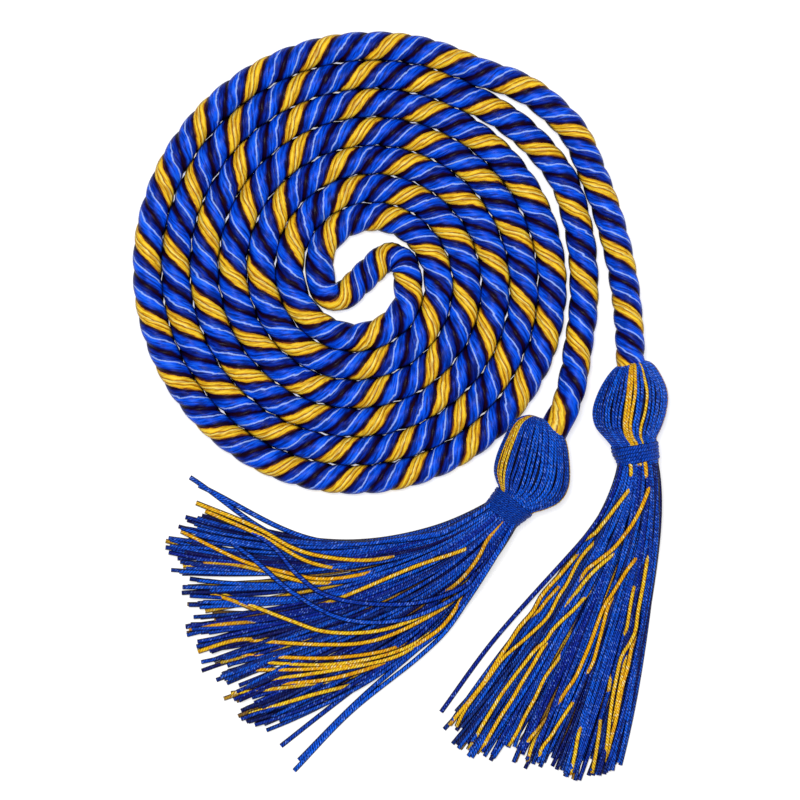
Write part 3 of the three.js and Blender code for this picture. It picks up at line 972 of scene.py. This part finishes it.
def ropeRun():  # from the right head, through the coil's middle, to the left head
    rightArm = armPoints(rope["armAngle"], rope["rightTurns"])
    leftArm = armPoints(rope["armAngle"] - 180, rope["leftTurns"])
    fold = [laidPoint(-x, -y) for x, y in foldHalf]
    fold.append(laidPoint(0, 0))
    fold += [laidPoint(x, y) for x, y in reversed(foldHalf)]
    rightEnd, leftEnd = ropeEnds()
    start = rightEnd + heading(rightTassel["headTurn"]) * rope["intoHead"]
    finish = leftEnd + heading(leftTassel["headTurn"]) * rope["intoHead"]
    inward = [laidPoint(*row) for row in reversed(rightLead)] + rightArm[::-1]
    outward = leftArm + [laidPoint(*row) for row in leftLead]
    return runThrough([start, *inward, *fold, *outward, finish], spacing=rope["ringStep"])


def pliedOutline():  # angle, radius share and ply, all round the rope
    columns = []
    angle = 0
    plies = zip(rope["plySides"], rope["plyAngles"], rope["grooves"])
    for ply, (sides, wide, grooves) in enumerate(plies):
        for k in range(sides):
            across = 2 * k / sides - 1
            crown = math.sqrt(1 - (rope["plyBow"] * across) ** 2)
            low = grooves[0] if across < 0 else grooves[1]
            columns.append((angle + wide * k / sides, low + (1 - low) * crown, ply))
        angle += wide
    columns.append((360, *columns[0][1:]))
    return np.array(columns).T


def paintedSideShade(run, turned):  # painted shade on the rope's sides, full between two turns of the coil
    side = unit(np.cross([0, 0, 1], np.gradient(run, axis=0)))
    skip = sideShadePaint["ringStep"]
    near, free = sideShadePaint["near"]
    shut = np.zeros(turned.shape)
    for sign in (1, -1):
        beside = run + sign * side * rope["spacing"]
        apart = np.linalg.norm(beside[:, None, :2] - run[None, ::skip, :2], axis=2)
        ringsAway = np.abs(np.arange(len(run))[:, None] - np.arange(0, len(run), skip)[None])
        apart[ringsAway < sideShadePaint["ownRings"]] = 1
        least = apart.min(axis=1)
        close = 1 - smoothStep(least, near * rope["spacing"], free * rope["spacing"])
        facing = np.clip(sign * np.cos(turned) * sideShadePaint["sideSharpness"], 0, 1)
        shut += blend(sideShadePaint["freeShade"], 1, close)[:, None] * facing
    return shut * (1 - smoothStep(np.abs(np.sin(turned)), *sideShadePaint["band"]))


def makeRope(blue, gold):
    run = ropeRun()
    along = lengthAlong(run)
    angle, radius, ply = pliedOutline()
    marks = rope["twistMarks"]
    goldMiddle = 360 - rope["plyAngles"][2] / 2
    count = range(len(marks))
    turns = [np.interp(along / mm + shift, marks, count) for shift in rope["twistBlur"]]
    twist = 90 - goldMiddle - 360 * np.mean(turns, axis=0)
    turned = np.radians(angle[None] + twist[:, None])
    reach = rope["radius"] * radius[None]
    offsets = np.stack([np.cos(turned) * reach, np.sin(turned) * reach], axis=2)
    note = np.zeros((*turned.shape, 3))
    note[..., 0] = ply / 2
    # painted shade on the rope's sides, carried to the ply materials
    note[..., 1] = paintedSideShade(run, turned)
    paint = ply == 2
    piece = tubePiece("rope", [tube(run, offsets, paint=paint, note=note)], [blue, gold])
    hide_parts("cord_coil", "cord_right", "cord_left")
    print("rope", round(along[-1], 4), "m,", len(run), "rings")


# Head and binding
def headRings(tassel):  # middles, ways across, half widths and half heights
    edges = np.array(tassel["rings"]) * mm
    left = np.pad(edges[:, :2], ((0, 0), (0, 1)))
    right = np.pad(edges[:, 2:], ((0, 0), (0, 1)))
    halfWidth = np.linalg.norm(right - left, axis=1) / 2
    halfHeight = halfWidth * headHeight / halfWidth.max()
    middle = (left + right) / 2 + [0, 0, headHeight]
    return middle, unit(right - left), halfWidth, halfHeight


def overHead(tassel, angle, inset):  # a run over the head at an angle
    middle, across, halfWidth, halfHeight = headRings(tassel)
    turn = np.radians(np.broadcast_to(angle, len(middle)))[:, None]
    wide = (halfWidth - inset)[:, None]
    high = (halfHeight - inset)[:, None]
    points = middle + across * wide * np.cos(turn) + np.array([0, 0, 1]) * high * np.sin(turn)
    return runThrough(points, count=head["steps"])


def makeHead(tassel, blue, gold, core):
    rng = random.Random(tassel["seed"])
    middle = headRings(tassel)[0]
    step = 360 / head["threads"]
    golden = {round(angle / step - 0.5) % head["threads"] for angle in tassel["goldAngles"]}
    tubes = []
    for k in range(head["threads"]):
        angle = (k + 0.5) * step + rng.uniform(-head["angleJitter"], head["angleJitter"])
        sway = np.array([rng.uniform(-head["sway"], head["sway"]) for _ in middle])
        inset = head["threadRadius"] + rng.uniform(*head["insetJitter"]) * mm
        run = overHead(tassel, angle + sway, inset)
        outward = overHead(tassel, angle + sway + head["aside"], inset) - run
        radius = head["threadRadius"] * rng.uniform(*head["thickness"])
        note = (rng.uniform(*head["tint"]), 0, 0)
        paint = int(k in golden)
        tubes.append(roundTube(run, radius, head["sides"], side=unit(outward), paint=paint, note=note))
    threads = tubePiece(f"headThreads_{tassel['name']}", tubes, [blue, gold])
    columns = head["coreColumns"]
    inset = head["coreInset"] + head["threadRadius"]
    coreRuns = [overHead(tassel, angle, inset) for angle in np.linspace(0, 360, columns)]
    rings = np.stack(coreRuns, axis=1)
    rings[:, -1] = rings[:, 0]
    coreTube = {
        "rings": rings,
        "along": lengthAlong(rings.mean(axis=1)) / mm,
        "paint": np.zeros(columns, int),
        "note": np.zeros(rings.shape),
    }
    inner = tubePiece(f"headCore_{tassel['name']}", [coreTube], [core])
    print("head", tassel["name"], len(tubes), "threads")


def makeBinding(tassel, yarn):
    rng = random.Random(tassel["seed"] + 50)
    middle, across, halfWidth, _ = headRings(tassel)
    thick = tassel["windRadius"]
    share = np.linspace(0, 1, round(tassel["winds"] * binding["perTurn"]) + 1)
    bulges = [rng.uniform(-binding["bulge"], binding["bulge"]) * mm for _ in range(binding["bulges"])]
    bulge = np.interp(share, np.linspace(0, 1, len(bulges)), bulges)
    turn = share * tassel["winds"] * 2 * math.pi + math.radians(binding["startAngle"])
    start, finish = middle[-2], middle[-1]
    way = unit(blend(across[-2], across[-1], share[:, None]))
    axis = unit(finish - start)
    inset = thick / np.linalg.norm(finish - start)
    centre = blend(start, finish, blend(inset, 1 - inset, share)[:, None])
    wide = blend(halfWidth[-2], halfWidth[-1], share) + bulge - thick + binding["outside"]
    high = wide * headHeight / halfWidth.max()
    sideways = way * (wide * np.cos(turn))[:, None]
    run = centre + sideways + np.array([0, 0, 1]) * (high * np.sin(turn))[:, None]
    note = (binding["tint"], 0, 0)
    wind = roundTube(run, thick * binding["thickness"], binding["sides"], side=axis, note=note)
    piece = tubePiece(f"bindingYarn_{tassel['name']}", [wind], [yarn])
    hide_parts(f"binding_{tassel['name']}")
    print("binding", tassel["name"], round(lengthAlong(run)[-1] / mm), "mm of yarn")


# Skirt
def stackTop(share):  # height of the topmost threads, from the neck to the tips
    atNeck = headHeight + skirt["neckRise"]
    return blend(atNeck, skirt["topAtTip"], smoothStep(share, *skirt["settle"]))


def makeSkirt(tassel, blue, gold):
    rng = random.Random(tassel["seed"] + 100)
    middle, across, halfWidth, _ = headRings(tassel)
    rightEnd, leftEnd = ropeEnds()
    ropeEnd = rightEnd if tassel is rightTassel else leftEnd
    neckPoint = ropeEnd + heading(tassel["headTurn"]) * (neck["gap"] + neckEnd)
    root = blend(middle[-2], middle[-1], skirt["rootAlong"])
    rootWide = halfWidth[-1] - skirt["rootInset"]
    rootHigh = rootWide * headHeight / halfWidth.max()
    fan = np.array(tassel["fan"], float)
    fanPlace = np.linspace(-0.5, 0.5, len(fan))
    t = np.linspace(0, 1, skirt["pathPoints"])[:, None]
    hidden = skirt["hidden"]
    lowest = skirt["lowest"]
    tubes = []

    def addThread(points, paint, deep=0, free=False):
        deep = np.broadcast_to(deep, len(points))
        marked = runThrough(np.column_stack([points, deep * mm]), count=skirt["steps"])
        run = marked[:, :3]
        run[:, 2] = np.maximum(run[:, 2], lowest)
        note = np.zeros((len(run), 1, 3))
        note[:, 0, 0] = rng.random()
        # painted shade by how deep the thread lies
        note[:, 0, 1] = np.clip(marked[:, 3] / mm, 0, 1)
        size = (skirt["runRadius"] if free else skirt["threadRadius"]) * rng.uniform(*skirt["thickness"])
        tubes.append(roundTube(run, size, skirt["sides"], paint=paint, note=note))

    def rootAt(place, level):  # a point in the neck, place across it and level from bottom to top
        wide = rootWide * place * 2
        high = rootHigh * math.sqrt(max(0.0, 1 - (place * 2) ** 2)) * (2 * level - 1)
        return root + across[-1] * wide + np.array([0, 0, high])

    def rootWay(place):
        return heading(tassel["rootTurn"] + 2 * tassel["rootFlare"] * place)

    for k in range(tassel["threads"] + skirt["mantle"]):  # the last ones lie over the neck
        place = (k * skirt["spread"]) % 1 - 0.5
        mantle = k >= tassel["threads"]
        level = 1 if mantle else (k + rng.random()) / tassel["threads"]
        turn, reach, tipTurn = (np.interp(place, fanPlace, fan[:, c]) for c in range(3))
        turn += rng.uniform(-skirt["turnJitter"], skirt["turnJitter"])
        tipTurn += rng.uniform(-skirt["tipJitter"], skirt["tipJitter"])
        reach *= skirt["length"] * rng.uniform(*skirt["reach"])
        stray = min(skirt["rootStray"], skirt["rootRoom"] - abs(place))
        rootPlace = skirt["rootShare"] * place + rng.uniform(-stray, stray)
        rootPlace = np.clip(rootPlace, -skirt["rootEdge"], skirt["rootEdge"])
        begin = rootAt(rootPlace, level)
        tip = neckPoint + heading(turn) * reach
        leave = begin + rootWay(rootPlace) * tassel["rootHold"] * reach
        arrive = tip - heading(tipTurn) * skirt["tipHold"] * reach
        path = bezier(begin, leave, arrive, tip, t)
        layer = rng.uniform(*skirt["mantleRest"]) if mantle else level
        rest = lowest + skirt["layerStep"] * skirt["layers"] * layer
        share = np.linalg.norm((path - neckPoint)[:, :2], axis=1) / skirt["length"]
        path[:, 2] = blend(begin[2], rest, smoothStep(share, *skirt["settle"]))
        sway = rng.uniform(*skirt["sway"]) * mm
        beat = rng.uniform(*skirt["swayStart"])
        aside = unit(np.cross([0, 0, 1], tip - begin))
        path += aside * sway * t * np.sin(t * rng.uniform(*skirt["swayBeat"]) + beat)
        # painted shade for threads low in the stack, and for some at random
        if mantle:
            deep = rng.uniform(*skirt["mantleDeep"])
        else:
            deep = (1 - level) * rng.uniform(*skirt["deep"])
        if not mantle and rng.random() < skirt["darkAmong"]:
            deep = max(deep, rng.uniform(*skirt["darkDeep"]))
        inside = level < skirt["goldLevel"] and abs(place) < skirt["goldPlace"]
        golden = inside and rng.random() < skirt["goldBelow"]
        addThread(path, int(golden), deep)

    def addRun(points, paint, low=False):
        flat = np.array([(x, y, 0) for x, y, *_ in points]) * mm
        under = [laid["depthStep"] * row[2] * mm if len(row) > 2 else 0 for row in points]
        share = np.linalg.norm(flat - flattened(neckPoint), axis=1) / skirt["length"]
        fromNeck = share[0] < laid["neckZone"]
        tipWay = flat[-1] - flattened(neckPoint)
        tipTurn = math.degrees(math.atan2(tipWay[1], tipWay[0])) % 360
        rootPlace = laid["rootShare"] * np.interp(tipTurn, fan[:, 0], fanPlace)
        if fromNeck:
            rootPlace = np.dot(flat[0] - flattened(root), across[-1]) / rootWide / 2
            rootPlace = np.clip(rootPlace, -laid["rootEdge"], laid["rootEdge"])
        begin = rootAt(rootPlace, laid["seenLevel"] if low or fromNeck else laid["hiddenLevel"])
        if paint and not fromNeck:
            under[0] = max(under[0], laid["firstSunk"])
        rows = [begin]
        depths = [0 if low or fromNeck else hidden]
        if not fromNeck:  # the thread comes up from among the others
            start = flattened(begin)
            far = np.linalg.norm(flat[0] - start)
            leave = start + rootWay(rootPlace) * laid["leave"] * far
            arrive = flat[0] - unit(flat[1] - flat[0]) * laid["arrive"] * far
            for part, depth in laid["rise"]:
                way = bezier(start, leave, arrive, flat[0], part)
                deep = 0 if low else hidden * depth
                rows.append(way + [0, 0, max(stackTop(share[0] * part) - deep, lowest)])
                depths.append(deep)
        lift = (laid["goldLift"] if paint else laid["blueLift"]) * mm
        for point, each, sunk in zip(flat, share, under):
            height = stackTop(each) - sunk + (0 if low else lift)
            rows.append(point + [0, 0, max(height, lowest)])
            depths.append(sunk)
        if low:
            rows[-1][2] = lowest
            rows[-2][2] = min(rows[-2][2], laid["strayHeight"])
        elif under[-1] == 0:
            rows[-1][2] = laid["tipHeight"]
        # the depths set the painted shade along the thread
        addThread(rows, paint, np.array(depths) / hidden, free=True)

    for points in tassel["goldRuns"]:
        addRun(points, 1)
    for points in tassel["blueRuns"]:
        addRun(points, 0)
    for points in tassel["strays"]:
        addRun(points, 0, low=True)
    piece = tubePiece(f"skirtThreads_{tassel['name']}", tubes, [blue, gold])
    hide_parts(f"tassel_{tassel['name']}")
    print("skirt", tassel["name"], len(tubes), "threads")


placeCamera()
layFloor()
lightStudio()
filaments = makeFilamentGroup()
twist = makeTwistGroup()
blueRope = makePly("blueRope", filaments, **plyLooks["blueRope"])
goldRope = makePly("goldRope", filaments, **plyLooks["goldRope"])
blueYarn = makeYarn("blueYarn", twist, **yarnLooks["blueYarn"])
goldYarn = makeYarn("goldYarn", twist, **yarnLooks["goldYarn"])
bindingYarn = makeYarn("bindingYarn", twist, **yarnLooks["bindingYarn"])
darkCore, coreTree, coreShader = newMaterial("darkCore", 0.8)
coreShader.inputs["Base Color"].default_value = shade(12, 20, 70)
makeRope(blueRope, goldRope)
for tassel in (rightTassel, leftTassel):
    makeHead(tassel, blueYarn, goldYarn, darkCore)
    makeBinding(tassel, bindingYarn)
    makeSkirt(tassel, blueYarn, goldYarn)
